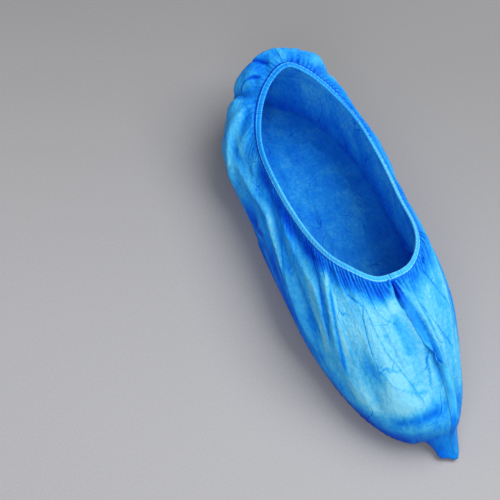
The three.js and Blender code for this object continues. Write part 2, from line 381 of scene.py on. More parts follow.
def settled(sheet, form):
    # the film let go over the shoe, held by the elastic at the rim and by the shoe on the sole
    piece = sheetPiece("settling_film", sheet.points)
    for thing in (piece, form):
        thing.data.transform(Matrix.Scale(settling["scale"], 4))
    numbers = sheetNumbers(*sheet.up.shape)
    isHeld = sheet.up < 0.02
    isHeld[:, -1] = True
    held = piece.vertex_groups.new(name="held")
    held.add(np.unique(numbers[isHeld]).tolist(), 1.0, "REPLACE")
    slack = piece.vertex_groups.new(name="slack")
    toe, heel = 1 - smooth(sheet.along, 0.12, 0.35), smooth(sheet.along, 0.7, 0.9)
    surplus = settling["surplus"]
    amount = surplus["toe"] * toe + surplus["heel"] * heel + surplus["waist"] * (1 - toe - heel)
    amount *= smooth(sheet.up, 0.0, 0.3) * np.where(sheet.side > 0, surplus["innerShare"], 1)
    most = amount.max()
    shares = (amount / most).ravel().tolist()
    for number, share in dict(zip(numbers.ravel().tolist(), shares)).items():
        slack.add([number], share, "REPLACE")
    form.modifiers.new("collision", "COLLISION")
    form.collision.thickness_outer = settling["skin"]
    form.collision.cloth_friction = 3
    modifier = piece.modifiers.new("cloth", "CLOTH")
    cloth = modifier.settings
    cloth.quality = 6
    cloth.mass = 0.02
    cloth.tension_stiffness = cloth.compression_stiffness = 20
    cloth.shear_stiffness = 8
    cloth.bending_model = "ANGULAR"
    cloth.bending_stiffness = 4
    cloth.tension_damping = cloth.compression_damping = cloth.shear_damping = 5
    cloth.bending_damping = 0.5
    cloth.vertex_group_mass = "held"
    cloth.vertex_group_shrink = "slack"
    cloth.effector_weights.gravity = 0.15
    cloth.shrink_min = 0
    cloth.shrink_max = -most
    modifier.collision_settings.distance_min = settling["skin"]
    modifier.collision_settings.collision_quality = 3
    modifier.point_cache.frame_end = settling["frames"]
    for step in range(1, settling["frames"] + 1):
        bpy.context.scene.frame_set(step)
    seen = piece.evaluated_get(bpy.context.evaluated_depsgraph_get())
    flat = np.empty(len(seen.data.vertices) * 3)
    seen.data.vertices.foreach_get("co", flat)
    bpy.context.scene.frame_set(1)
    for thing in (piece, form):
        thing.data.transform(Matrix.Scale(1 / settling["scale"], 4))
    bpy.data.objects.remove(piece)
    flat = flat.reshape(-1, 3) / settling["scale"] / mm - (0, 0, floorZ / mm)
    return Sheet(flat[numbers], sheet.side, sheet.along, sheet.up)


def finer(field, columns, rows):
    # a grid of values read at finer columns and rows, smoothly; the columns close on themselves
    def weights(u):
        return ((-u + 2 * u**2 - u**3) / 2, (2 - 5 * u**2 + 3 * u**3) / 2,
                (u + 4 * u**2 - 3 * u**3) / 2, (u**3 - u**2) / 2)
    shape = (-1,) + (1,) * (field.ndim - 1)
    first = np.floor(columns).astype(int)
    across = sum(w.reshape(shape) * field[(first + k) % len(field)]
                 for k, w in zip((-1, 0, 1, 2), weights(columns - first)))
    first = np.minimum(np.floor(rows).astype(int), field.shape[1] - 2)
    last = field.shape[1] - 1
    parts = [across[:, np.clip(first + k, 0, last)] for k in (-1, 0, 1, 2)]
    spread = weights(rows - first)
    shape = (1, -1) + (1,) * (field.ndim - 2)
    return sum(w.reshape(shape) * part for w, part in zip(spread, parts))


film = {
    "flatLength": 0.36,
    "flatWidth": 0.3,
    "floorGap": 0.25,
    "wallMiddle": 0.5,
    "columnsPerSide": 450,
    "rows": 100,
    "rowBunching": 0.35,
    "ear": [
        {"root": (-9, -141, 3), "reach": (1.5, 2.5, 0), "radius": 9},
        {"root": (-1, -150, 2), "reach": (-3, -1.5, 0), "radius": 7},
    ],
    "crumple": {"along": 36, "up": 11, "height": 0.12},
    "soleRipple": {"across": 16, "along": 34, "height": 1.5},
}

rough = bagSheet(settling["columnsPerSide"], settling["rows"])
rough.points[..., 2] += film["floorGap"]
rough.points += outward(rough.points) * (foldRise(rough) - film["wallMiddle"])[..., None]
rough.points[..., 2] = np.maximum(rough.points[..., 2], film["floorGap"])
rough.points = drawnToCorners(rough.points)
shoeForm = shoePiece()
rough = settled(rough, shoeForm)
bpy.data.objects.remove(shoeForm)
print("film settled on the shoe")

fineColumns = np.arange(2 * film["columnsPerSide"]) * settling["columnsPerSide"]
fineColumns = fineColumns / film["columnsPerSide"]
# rows closer together towards the hem
bunching = film["rowBunching"]
rowShare = np.linspace(0, 1, film["rows"] + 1)
fineRows = (rowShare * (1 + bunching) - bunching * rowShare**2) * settling["rows"]
sheet = Sheet(*(finer(field, fineColumns, fineRows)
                for field in (rough.points, rough.side, rough.along, rough.up)))
sheet.side = np.sign(sheet.side)
for nudge in film["ear"]:
    near = smooth(np.linalg.norm(sheet.points - nudge["root"], axis=-1), nudge["radius"], 0)
    sheet.points += np.array(nudge["reach"]) * near[..., None]

# Gathers below the hem, in millimetres: fine ones that merge into wider ones further down. The
# outer side is drawn smoother towards the heel.
gathers = {
    "pitch": 3.1,
    "height": 1.15,
    "reach": 15,
    "mergedPitch": 7.5,
    "mergedHeight": 0.8,
    "mergedReach": 26,
    "atHem": 0.4,
    "smoother": {"heel": 0.6, "waist": 0.35, "merged": 0.72},
    "innerOffset": 500,
}


def rimPlace(sheet):
    # millimetres along the rim from the toe weld to the top of the fold that each point lies in
    rim = sheet.points[:, -1]
    half = len(rim) // 2
    outerRun = runAlong(rim[:half + 1])
    innerRun = runAlong(np.concatenate([rim[half:], rim[:1]])[::-1])
    flow = flowOf(sheet.along, sheet.up)
    place = np.empty(flow.shape)
    for isSide, run, shares in (
            (sheet.side < 0, outerRun, sheet.along[:half + 1, -1]),
            (sheet.side > 0, innerRun, np.append(sheet.along[half:, -1], 0)[::-1])):
        order = np.argsort(shares)
        inRange = np.interp(flow, shares[order], run[order])
        place[isSide] = (inRange + np.maximum(0, flow - 1) * run[-1])[isSide]
    return place


def pucker(place, side, pitch, seed):
    # rounded ridges and sharp valleys of uneven width, from -1 to 1
    drift = cloudy(place / (pitch * 4), side * 3 + seed, seed, 1) * 0.75
    size = 0.75 + 0.35 * cloudy(place / (pitch * 2.2), side * 3 + seed + 20, seed, 1)
    return (2 * np.abs(np.sin(np.pi * (place / pitch + drift))) ** 0.8 - 1) * size


def gatherRise(sheet):
    below = runAlong(sheet.points[:, ::-1])[:, ::-1]
    place = rimPlace(sheet)
    fine = pucker(place, sheet.side, gathers["pitch"], 2)
    merged = pucker(place, sheet.side, gathers["mergedPitch"], 5)
    uneven = 1 + 0.45 * cloudy(place / 9, sheet.side * 4, 8, 1)
    near = gathers["atHem"] + (1 - gathers["atHem"]) * smooth(below, 0.5, 4)
    fineShare = near * (1 - smooth(below / uneven, 3, gathers["reach"]))
    mergedShare = smooth(below, 2, 9) * (1 - smooth(below / uneven, 9, gathers["mergedReach"]))
    outerHeel = np.where(sheet.side < 0, smooth(sheet.along, 0.55, 0.72), 0)
    outerWaist = np.where(sheet.side < 0, smooth(sheet.along, 0.28, 0.36), 0)
    smoother = gathers["smoother"]
    fineShare *= 1 - np.maximum(smoother["heel"] * outerHeel, smoother["waist"] * outerWaist)
    mergedShare *= 1 - smoother["merged"] * np.maximum(outerHeel, outerWaist)
    rise = fineShare * gathers["height"] * fine + mergedShare * gathers["mergedHeight"] * merged
    return rise, fineShare, fine


# Fine creases, pressed into the settled film. The mark is how much deeper the film shows there.
creases = {
    "front fold": {"half": 1.7, "rise": -2.0, "mark": 1.0, "run": [
        (0, 110), (1, 98), (2, 92.5), (2.7, 87)]},
    "long crease": {"half": 0.75, "rise": 0.6, "mark": 0.65, "run": [
        (20, 88), (17, 78), (13, 62), (10, 53), (7.8, 43), (5.8, 29)]},
    "hooked crease": {"half": 0.75, "rise": 0.5, "mark": 0.55, "run": [
        (15, 47), (13, 42), (10, 40), (7, 38), (4.2, 38)]},
    "hook end": {"half": 0.75, "rise": 0.6, "mark": 0.75, "run": [
        (4.2, 38), (3.3, 46), (2.5, 58), (1.4, 68), (1, 80)]},
    "front crease": {"half": 0.75, "rise": -0.6, "mark": 0.7, "run": [
        (29, 93), (25.6, 84), (19, 82), (20, 75), (19, 62), (17.5, 50)]},
    "short crease": {"half": 0.75, "rise": 0.5, "mark": 0.55, "run": [
        (16, 93), (13, 82), (10.5, 78), (6.7, 75)]},
    "side line": {"half": 1.0, "rise": -0.7, "mark": 0.6, "run": [
        (41, 98), (39.4, 90), (36.9, 78), (34.4, 57), (32, 40)]},
    "ridge line": {"half": 1.0, "rise": -0.6, "mark": 0.5, "run": [
        (52, 74), (49, 62), (47, 53), (43, 40), (40, 25)]},
    "inner line": {"side": 1, "half": 0.75, "rise": -0.5, "mark": 0.5, "run": [
        (5, 95), (7.2, 82), (12.2, 65), (16.4, 52), (17.8, 42)]},
    "inner second line": {"side": 1, "half": 0.75, "rise": -0.5, "mark": 0.5, "run": [
        (16, 95), (18.3, 90), (20.6, 78), (22.2, 67), (23, 50)]},
    "lobe crease": {"half": 1.6, "rise": -1.4, "mark": 0.6, "run": [
        (84, 72), (86.5, 79), (90, 93)]},
    "lobe fold": {"half": 1.6, "rise": -1.3, "mark": 0.6, "run": [(90, 60), (93, 72), (95, 93)]},
}


def creaseRise(sheet):
    summed, mark = np.zeros(sheet.up.shape), np.zeros(sheet.up.shape)
    for crease in creases.values():
        shape = pressed(sheet, crease, 0.12)
        summed += crease["rise"] * shape
        mark = np.maximum(mark, shape * crease["mark"])
    return summed, mark


def crumple(sheet):
    # faint crumples all over
    size = film["crumple"]
    x, y = sheet.along * size["along"], sheet.up * size["up"]
    ridged = 1 - np.abs(cloudy(x, y + sheet.side * 40, 21, 3)) * 2
    upper = smooth(sheet.up, 0, 0.2) * (1 - smooth(sheet.up, 0.85, 0.98))
    return size["height"] * ridged * upper


def soleRipple(sheet):
    # shallow ripples in the film under the shoe
    size = film["soleRipple"]
    x, y = sheet.points[..., 0] / size["across"], sheet.points[..., 1] / size["along"]
    ridged = np.clip(1 - 2.2 * np.abs(cloudy(x, y, 31, 3)), 0, 1)
    return size["height"] * ridged**1.5 * (1 - smooth(sheet.up, -0.35, -0.02))


def attribute(piece, name, values):
    made = piece.data.attributes.new(name, "FLOAT", "POINT")
    made.data.foreach_set("value", np.asarray(values, np.float32).ravel())


smoothNormals = outward(sheet.points)
rise, gathered, fine = gatherRise(sheet)
creased, creaseMark = creaseRise(sheet)
sheet.points += smoothNormals * (rise + creased + crumple(sheet))[..., None]
sheet.points[..., 2] += soleRipple(sheet)
sheet.points[..., 2] = np.maximum(sheet.points[..., 2], film["floorGap"])
print("gathers and creases pressed in")
filmPiece = sheetPiece("film", sheet.points)


def perPoint(values):
    numbers = sheetNumbers(*values.shape)
    flat = np.empty(numbers.max() + 1)
    flat[numbers] = values
    return flat


def evened(field, columns, rows, times=2):
    # the field averaged over a patch of columns and rows
    for _ in range(times):
        field = sum(np.roll(field, k, 0) for k in range(-columns, columns + 1)) / (2 * columns + 1)
        padded = np.concatenate([field[:, :1]] * rows + [field] + [field[:, -1:]] * rows, 1)
        field = sum(padded[:, k:k + field.shape[1]] for k in range(2 * rows + 1)) / (2 * rows + 1)
    return field


# How light the film is, from -1, deep blue, to 1, pale: pale where it lies close on a shoe, deep
# where it stands off or lies double, with painted light and shade added: paler on raised relief,
# deeper in its hollows and along the foot of the sides. Places are shares of the way along a
# side, from and to are shares of the way up.
pressing = {
    "places": [0, 0.08, 0.13, 0.2, 0.3, 0.4, 0.6, 0.8, 1],
    "from": [0.32, 0.28, 0.25, 0.2, 0.22, 0.35, 0.4, 0.35, 0.4],
    "to": [0.93, 0.9, 0.9, 0.88, 0.86, 0.92, 0.94, 0.86, 0.8],
    "amount": [0.7, 0.8, 0.85, 0.75, 0.5, 0.15, 0.1, 0.2, 0.1],
    "innerShare": 0.7,
    "gathers": 0.35,
    # relief paints light and shade: paler on raised relief, deeper in hollows
    "relief": 0.2,
    # the low edge is painted shade along the foot of the sides
    "lowEdgeShade": 0.4,
}

# Single streaks of tone, as the folds are placed; half is in millimetres. Some are painted shade,
# as marked.
streaks = {
    "heel light": {"half": 3.5, "tone": 0.35, "run": [
        (80, 87), (74.7, 78), (69, 75), (63.3, 73), (60, 72)]},
    "heel low light": {"half": 6, "tone": 0.3, "run": [
        (77, 75), (72.5, 62), (68.3, 56), (64.2, 60)]},
    # partly film standing off the shoe, partly painted shade below the outer ridge
    "low painted shade": {"half": 9, "tone": -0.7, "run": [
        (66, 42), (57.2, 36), (48.9, 32), (43, 16), (38, 5)]},
    "ridge light": {"half": 2.6, "tone": 0.3, "run": [
        (60, 76), (56, 75), (53, 66), (48.3, 55), (45, 41), (41, 28)]},
    "ridge deep": {"half": 2.2, "tone": -0.6, "run": [
        (62, 62), (58.5, 66), (55, 62), (51, 52), (47, 40)]},
    "third light": {"half": 2.4, "tone": 0.3, "run": [
        (57.8, 85), (55, 81), (51.9, 78), (48.3, 71), (43.1, 57), (39, 40)]},
    "fourth light": {"half": 4.5, "tone": 0.45, "run": [
        (48, 90), (45, 87), (42.5, 82), (38.9, 67), (35.6, 47), (33, 33)]},
    "fifth light": {"half": 4, "tone": 0.5, "run": [(35, 93), (31.7, 77), (29.7, 58), (27.2, 42)]},
    "between deep": {"half": 2.6, "tone": -0.35, "run": [(38, 92), (36, 78), (33.5, 60), (31, 42)]},
    "stripe deep": {"half": 2.2, "tone": -1.0, "run": [
        (33, 87), (32.2, 78), (30.8, 63), (29.7, 52), (28.3, 40), (27, 30)]},
    "toe cloud": {"half": 7, "tone": -0.45, "run": [(23, 48), (20, 46), (17.5, 45), (14, 42)]},
    "toe second cloud": {"half": 6, "tone": -0.4, "run": [(7, 82), (6.4, 70), (6.4, 57)]},
    # partly film standing off under the cap, partly painted shade below its ridge
    "under the cap": {"half": 2.6, "tone": -0.3, "run": [(15, 20), (11, 22.5), (7, 25), (2, 28)]},
    "below the cap": {"half": 3, "tone": 0.3, "run": [(13, 15), (9, 17), (5, 20)]},
    # painted shade along the foot of the outer side
    "outer edge painted shade": {"half": 7, "tone": -0.4, "run": [
        (60, 7), (48, 6), (36, 6), (28, 4), (20, 3), (13, 2), (6, 2)]},
    "front deep": {"half": 4, "tone": -1.1, "run": [(-1, 110), (0.2, 97), (1.2, 90), (1.6, 84)]},
    # painted shade in a band under the hem
    "below the hem": {"half": 6, "tone": -0.3, "run": [
        (2, 95), (10, 93), (20, 92), (30, 92), (40, 92), (48, 93)]},
    "side gathers": {"half": 7, "tone": -0.7, "run": [(34, 93), (45, 91), (55, 91), (66, 93)]},
    "ear deep": {"half": 8, "tone": -0.3, "run": [(7, 3), (5, 2), (3.6, 3), (2, 0)]},
    "lobe deep": {"half": 12, "tone": -0.35, "run": [(87, 30), (90, 50), (92, 70), (94, 95)]},
    "ear fold": {"side": 1, "half": 4, "tone": -0.9, "run": [(0, 36), (0.2, 28), (0, 18)]},
    # painted shade on the film either side of the toe weld fin
    "painted shade beside the weld": {"half": 5, "tone": -0.7, "run": [
        (1, 95), (0.6, 80), (0.4, 65), (0, 50), (0, 35)]},
    "painted shade past the weld": {"side": 1, "half": 6, "tone": -0.5, "run": [
        (0, 90), (0.4, 70), (1, 50), (0.8, 40), (0, 30)]},
    "inner light": {"side": 1, "half": 4, "tone": 0.3, "run": [
        (8, 90), (9.2, 73), (12, 58), (12, 45)]},
    "inner deep": {"side": 1, "half": 6, "tone": -0.5, "run": [
        (36, 70), (30, 50), (26, 30), (20, 20), (15, 16)]},
}


def toneOf(sheet, gathered, fine, relief):
    low, high, amount = (np.interp(sheet.along, pressing["places"], pressing[key])
                         for key in ("from", "to", "amount"))
    tone = amount * np.where(sheet.side > 0, pressing["innerShare"], 1)
    tone *= smooth(sheet.up, low - 0.05, low + 0.05)
    tone *= 1 - smooth(sheet.up, high - 0.07, high + 0.05)
    for streak in streaks.values():
        tone += pressed(sheet, streak, 0.15, amount=streak["tone"])
    tone -= pressing["gathers"] * gathered * (1 - fine)
    # painted light and shade: paler where the film stands out, deeper in its hollows
    tone += pressing["relief"] * np.clip(relief / 1.2, -1, 1) * smooth(sheet.up, 0, 0.15)
    # painted shade along the foot of the sides, where the film meets the floor
    lowEdgeShade = smooth(sheet.up, -0.08, 0) * (1 - smooth(sheet.up, 0.02, 0.2))
    tone -= pressing["lowEdgeShade"] * lowEdgeShade * smooth(sheet.along, 0.03, 0.09)
    return np.clip(tone, -1.2, 1.2)


even = evened(sheet.points, 9, 5)
relief = ((sheet.points - even) * outward(even)).sum(-1)
rimRun = rimPlace(sheet)
attribute(filmPiece, "tone", perPoint(toneOf(sheet, gathered, fine, relief)))
attribute(filmPiece, "creased", perPoint(creaseMark))
attribute(filmPiece, "flow", perPoint(rimRun + gathers["innerOffset"] * (sheet.side > 0)))
attribute(filmPiece, "up", perPoint(sheet.up))


def sheetUv(piece):
    # the flat sheet in metres, before it was welded and gathered
    around, rows = sheet.up.shape
    u = np.arange(around + 1) / around * 2 * film["flatLength"]
    v = rowShare * film["flatWidth"] / 2
    corners = np.stack(np.meshgrid(np.arange(around), np.arange(rows - 1), indexing="ij"), -1)
    loops = corners[:, :, None] + np.array([(0, 0), (0, 1), (1, 1), (1, 0)])
    layer = piece.data.uv_layers.new(name="sheet")
    spread = np.stack([u[loops[..., 0]], v[loops[..., 1]]], -1)
    layer.data.foreach_set("uv", spread.astype(np.float32).ravel())


sheetUv(filmPiece)
print("film sheet", len(filmPiece.data.polygons))

hem = {
    # the closed casing round the elastic: out from the middle of the film and up from its edge
    "section": [(0.34, -2.0), (0.34, -1.3), (0.4, -0.8), (0.72, -0.42), (0.8, -0.1), (0.62, 0.15),
                (0.78, 0.5), (0.86, 1.3), (0.8, 2.2), (0.62, 2.8), (0.32, 3.2), (0, 3.3)],
    "endGap": 0.15,
    "bulge": 0.32,
    "topWave": 0.18,
    "tickPitch": 0.6,
    "rowsBelow": 8,
}


def rimFrames(isOuter):
    around = len(sheet.points)
    half = around // 2
    picked = np.arange(half + 1) if isOuter else np.arange(half, around + 1) % around
    up = plainRim[picked] - plainBelow[picked]
    up /= np.linalg.norm(up, axis=-1, keepdims=True)
    out = plainOut[picked]
    out = out - up * (out * up).sum(-1, keepdims=True)
    out /= np.linalg.norm(out, axis=-1, keepdims=True)
    origin = plainRim[picked].copy()
    for end, beside in ((0, 1), (-1, -2)):
        step = origin[beside] - origin[end]
        origin[end] += step / np.linalg.norm(step) * hem["endGap"]
    return origin, out, up, picked


def hangingBelow(picked, depth):
    # the points of the film this far below its top edge
    lines = sheet.points[picked][:, ::-1][:, :hem["rowsBelow"]]
    runs = runAlong(lines)
    return np.array([[np.interp(depth, run, line[:, axis]) for axis in range(3)]
                     for run, line in zip(runs, lines)])


def loopPiece(name, loops):
    # a closed piece through a row of closed loops of points, with flat ends
    count, size = loops.shape[:2]
    numbers = np.arange(count * size).reshape(count, size)
    after = np.roll(numbers, -1, 1)
    quads = np.stack([numbers[:-1], after[:-1], after[1:], numbers[1:]], -1).reshape(-1, 4)
    ends = [numbers[0, ::-1].tolist(), numbers[-1].tolist()]
    return meshPiece(name, loops.reshape(-1, 3), quads.tolist() + ends)


def hemPiece(name, isOuter):
    origin, out, up, picked = rimFrames(isOuter)
    side = -1.0 if isOuter else 1.0
    section = hem["section"] + [(-o, u) for o, u in hem["section"][-2::-1]]
    place = rimRun[picked, -1]
    ridge = pucker(place, side, gathers["pitch"], 2)
    tick = pucker(place, side, gathers["pitch"] * hem["tickPitch"], 6)
    rings = []
    for o, u in section:
        body = float(smooth(np.float64(u), -0.5, 0.4))
        wave = hem["topWave"] * tick * float(smooth(np.float64(u), 2.0, 3.0))
        ring = origin + up * (u + wave)[:, None] if body else 0
        if body < 1:
            hanging = hangingBelow(picked, max(0, -u)) + up * max(0, u)
            ring = ring * body + hanging * (1 - body)
        bulge = hem["bulge"] * (0.5 + 0.5 * tick) * body * (abs(o) > 0.2)
        rings.append(ring + out * (o + np.sign(o) * bulge)[:, None])
    piece = loopPiece(name, np.stack(rings, 1))
    attribute(piece, "heightInHem", np.tile([u for o, u in section], len(place)))
    for key, values in (("ridge", ridge), ("tick", tick),
                        ("place", place + gathers["innerOffset"] * (side > 0)),
                        ("turnedIn", smooth(sheet.along[picked, -1], 0.5, 0.7))):
        attribute(piece, key, np.repeat(values, len(section)))
    return piece


plain = bagSheet(film["columnsPerSide"], settling["rows"])
plainRim = plain.points[:, -1] - outward(plain.points)[:, -1] * film["wallMiddle"]
plainBelow = plain.points[:, -3] - outward(plain.points)[:, -3] * film["wallMiddle"]
plainOut = outward(plain.points)[:, -1]
hemOuter = hemPiece("hem_outer_casing", True)
hemInner = hemPiece("hem_inner_casing", False)
print("hems", len(hemOuter.data.polygons), len(hemInner.data.polygons))

# Lean and deep are [share of the way up the seam, value]. Lean is from -1, lying towards the
# columns before the weld, by 0, upright, to 1, lying past it.
seams = {
    "toe": {"isToe": True, "width": 5.5, "ripple": 0.3, "name": "toe_weld_fin",
            "lean": [(0, -0.85), (0.5, -0.85), (0.64, 1), (1, 1)],
            "deep": [(0, 0.2), (0.08, 0.35), (0.15, 0.75), (0.23, 0.55), (0.3, 0), (0.55, 0),
                     (0.62, 0.25), (0.85, 0.55), (0.92, 1.1), (1, 1.2)]},
    "heel": {"isToe": False, "width": 4.0, "ripple": 0.7, "name": "heel_weld_fin",
             "lean": [(0, 1), (1, 1)], "deep": [(0, 0.2), (1, 0)]},
    "lift": 0.24,
    "thickness": 0.16,
    "steps": 9,
    "columnsBeside": 36,
}


def weldFin(seam):
    # the welded edge, two layers of film in one, folded down on the film beside it
    steps, middle = seams["steps"], seams["columnsBeside"]
    column = 0 if seam["isToe"] else len(sheet.points) // 2
    normals = outward(sheet.points)
    rows = np.arange(np.argmax(sheet.up[column] > 0.02), sheet.up.shape[1] - 2)
    run = runAlong(sheet.points[column, rows])
    place = run / run[-1]
    lean = np.radians(90) * np.interp(place, *zip(*seam["lean"]))
    shares = np.linspace(0, 1, steps)
    width = seam["width"] * (0.88 + 0.12 * np.sin(run / 7)) * (0.6 + 0.4 * np.abs(np.sin(lean)))
    width *= (0.15 + 0.85 * smooth(place, 0.02, 0.3)) * (1 - 0.5 * smooth(place, 0.9, 1))
    wave = 0.5 + 0.5 * np.sin(run / 2.6 + 2 * np.sin(run / 9))
    offsets = np.arange(-middle, middle + 1)
    across = (column + offsets) % len(sheet.points)
    loops = np.empty((len(rows), 2 * steps, 3))
    for i, row in enumerate(rows):
        # out over the film's own surface, so that the fin follows its folds
        walk, out = sheet.points[across, row], normals[across, row]
        reach = runAlong(walk)
        reach -= reach[middle]
        sideways, upright = math.sin(lean[i]), math.cos(lean[i])
        at = np.interp(width[i] * shares * sideways, reach, offsets)
        lift = seams["lift"] + seam["ripple"] * shares**2 * wave[i] + width[i] * shares * upright
        beside = walk[middle + 1] - walk[middle - 1]
        beside = beside / np.linalg.norm(beside)
        thin = seams["thickness"] * (out[middle] * sideways - beside * upright)
        for axis in range(3):
            line = np.interp(at, offsets, walk[:, axis])
            line += np.interp(at, offsets, out[:, axis]) * lift
            loops[i, :steps, axis] = line
            loops[i, steps:, axis] = (line - thin[axis])[::-1]
    piece = loopPiece(seam["name"], loops)
    attribute(piece, "across", np.tile([*shares, *shares[::-1]], len(rows)))
    attribute(piece, "upTheSeam", np.repeat(place, 2 * steps))
    attribute(piece, "deepness", np.repeat(np.interp(place, *zip(*seam["deep"])), 2 * steps))
    return piece


toeFin = weldFin(seams["toe"])
heelFin = weldFin(seams["heel"])
print("weld fins", len(toeFin.data.polygons), len(heelFin.data.polygons))


def feed(tree, made, which, source):
    # a link into a socket, or a value set on it
    if isinstance(source, bpy.types.NodeSocket):
        tree.links.new(source, made.inputs[which])
    else:
        made.inputs[which].default_value = source


def node(tree, kind, *sources, **values):
    # sources go to the first sockets in turn, in_Name to the socket of that name
    made = tree.nodes.new(kind)
    for key, value in values.items():
        if key.startswith("in_"):
            feed(tree, made, key[3:].replace("_", " "), value)
        else:
            setattr(made, key, value)
    for number, source in enumerate(sources):
        feed(tree, made, number, source)
    return made


def mathNode(tree, operation, *sources, clamp=False):
    made = node(tree, "ShaderNodeMath", *sources, operation=operation, use_clamp=clamp)
    return made.outputs[0]


def weightedSum(tree, *weighted):
    # the sum of sources, each with its weight
    summed = mathNode(tree, "MULTIPLY", *weighted[0])
    for source, weight in weighted[1:]:
        summed = mathNode(tree, "MULTIPLY_ADD", source, weight, summed)
    return summed


def mixColour(tree, share, first, second):
    # a Mix node's two colours are at sockets 6 and 7, and their mix at 2
    made = node(tree, "ShaderNodeMix", share, data_type="RGBA", clamp_factor=True)
    for number, colour in ((6, first), (7, second)):
        feed(tree, made, number, (*colour, 1) if isinstance(colour, tuple) else colour)
    return made.outputs[2]


def ramp(tree, value, low, high, toLow=0.0, toHigh=1.0):
    made = node(tree, "ShaderNodeMapRange", value, low, high, toLow, toHigh,
                interpolation_type="SMOOTHSTEP")
    return made.outputs[0]


def readAttribute(tree, name):
    return node(tree, "ShaderNodeAttribute", attribute_name=name).outputs["Fac"]


def noiseOn(tree, vector, scale, detail=2.0, roughness=0.55, distortion=0.0):
    made = node(tree, "ShaderNodeTexNoise", in_Vector=vector, in_Scale=scale, in_Detail=detail,
                in_Roughness=roughness, in_Distortion=distortion)
    return made.outputs["Fac"]


def combined(tree, x, y):
    return node(tree, "ShaderNodeCombineXYZ", x, y).outputs[0]


# Scales are per metre of the flat sheet. A facet is [scale, detail, distortion, height].
crinkleSizes = {
    "facets": [(75.0, 1.0, 0.0, -1.3), (170.0, 1.0, 0.4, -0.85), (430.0, 2.0, 0.0, -0.48)],
    "mottle": 330.0,
    "cloud": 48.0,
    "lineWander": 45.0,
    "lineCells": (58.0, 32.0, 1.0),
    "linesShown": 40.0,
    # the wider band beside the fold lines is a painted highlight
    "lineWidths": {"Lines": (0.004, 0.024), "HighlightBeside": (0.03, 0.08)},
}


def crinkleGroup():
    # soft facets and crinkles of thin film, as a height in millimetres, with cloudy masks, the
    # thin broken lines where it has been folded, and a painted highlight beside those lines
    group = bpy.data.node_groups.new("crinkled film", "ShaderNodeTree")
    group.interface.new_socket(name="Vector", in_out="INPUT", socket_type="NodeSocketVector")
    for name in ("Height", "Mottle", "Cloud", "Lines", "HighlightBeside"):
        group.interface.new_socket(name=name, in_out="OUTPUT", socket_type="NodeSocketFloat")
    place = node(group, "NodeGroupInput").outputs["Vector"]
    leave = node(group, "NodeGroupOutput")
    facets = []
    for scale, detail, distortion, weight in crinkleSizes["facets"]:
        value = noiseOn(group, place, scale, detail, distortion=distortion)
        bent = mathNode(group, "ABSOLUTE", mathNode(group, "SUBTRACT", value, 0.5))
        facets.append((bent, weight))
    feed(group, leave, "Height", weightedSum(group, *facets))
    feed(group, leave, "Mottle", noiseOn(group, place, crinkleSizes["mottle"], 3.0, 0.7))
    feed(group, leave, "Cloud", noiseOn(group, place, crinkleSizes["cloud"], 4.0, 0.6, 0.5))
    # the fold lines are straight and broken, longer across the sheet than along it
    wander = node(group, "ShaderNodeTexNoise", in_Vector=place, in_Detail=1.0,
                  in_Scale=crinkleSizes["lineWander"])
    stretched = node(group, "ShaderNodeVectorMath", place, crinkleSizes["lineCells"],
                     operation="MULTIPLY")
    moved = node(group, "ShaderNodeVectorMath", stretched.outputs[0], wander.outputs["Color"],
                 operation="ADD")
    cells = node(group, "ShaderNodeTexVoronoi", feature="DISTANCE_TO_EDGE",
                 in_Vector=moved.outputs[0], in_Scale=1.0, in_Randomness=1.0)
    shown = ramp(group, noiseOn(group, place, crinkleSizes["linesShown"], 1.0), 0.48, 0.6)
    # thin dark fold lines, and the painted highlight in a wider band about them
    for name, (near, far) in crinkleSizes["lineWidths"].items():
        line = ramp(group, cells.outputs["Distance"], near, far, 1.0, 0.0)
        feed(group, leave, name, mathNode(group, "MULTIPLY", line, shown))
    return group


crinkle = crinkleGroup()

# The film's colour from deep, at -1, to pale, at 1.
tones = [(-1, (0, 0.04, 0.48)), (-0.5, (0.002, 0.112, 0.66)), (0, (0.008, 0.237, 0.74)),
         (0.5, (0.052, 0.415, 0.755)), (1, (0.19, 0.58, 0.775))]


def toneColour(tree, value):
    made = node(tree, "ShaderNodeValToRGB")
    stops = made.color_ramp.elements
    while len(stops) < len(tones):
        stops.new(0.5)
    for stop, (tone, colour) in zip(stops, tones):
        stop.position = 0.5 + tone / 2
        stop.color = (*colour, 1)
    feed(tree, made, "Fac", mathNode(tree, "MULTIPLY_ADD", value, 0.5, 0.5, clamp=True))
    return made.outputs["Color"]


def newMaterial(name, roughness, specular=0.2):
    made = bpy.data.materials.new(name)
    made.use_nodes = True
    tree = made.node_tree
    shader = tree.nodes["Principled BSDF"]
    shader.inputs["Roughness"].default_value = roughness
    shader.inputs["Specular IOR Level"].default_value = specular
    shader.inputs["Specular Tint"].default_value = (0.3, 0.7, 1, 1)
    return made, tree, shader


def bumped(tree, shader, height, strength, distance):
    bump = node(tree, "ShaderNodeBump", in_Strength=strength, in_Distance=distance,
                in_Height=height)
    feed(tree, shader, "Normal", bump.outputs[0])


def letThrough(tree, shader, colour, share):
    # some of the light goes through the film
    through = node(tree, "ShaderNodeBsdfTranslucent", in_Color=colour)
    made = node(tree, "ShaderNodeMixShader", share, shader.outputs[0], through.outputs[0])
    feed(tree, tree.nodes["Material Output"], "Surface", made.outputs[0])


# How much each mark adds to the film's tone. The three noises lie about 0.5, so half their weight
# comes off again.
# beside paints a highlight along the fold lines
filmTone = {"tone": 1.0, "creased": -0.9, "cloud": 1.0, "mottle": 1.0, "streak": 0.7,
            "lines": -0.6, "beside": 0.12}


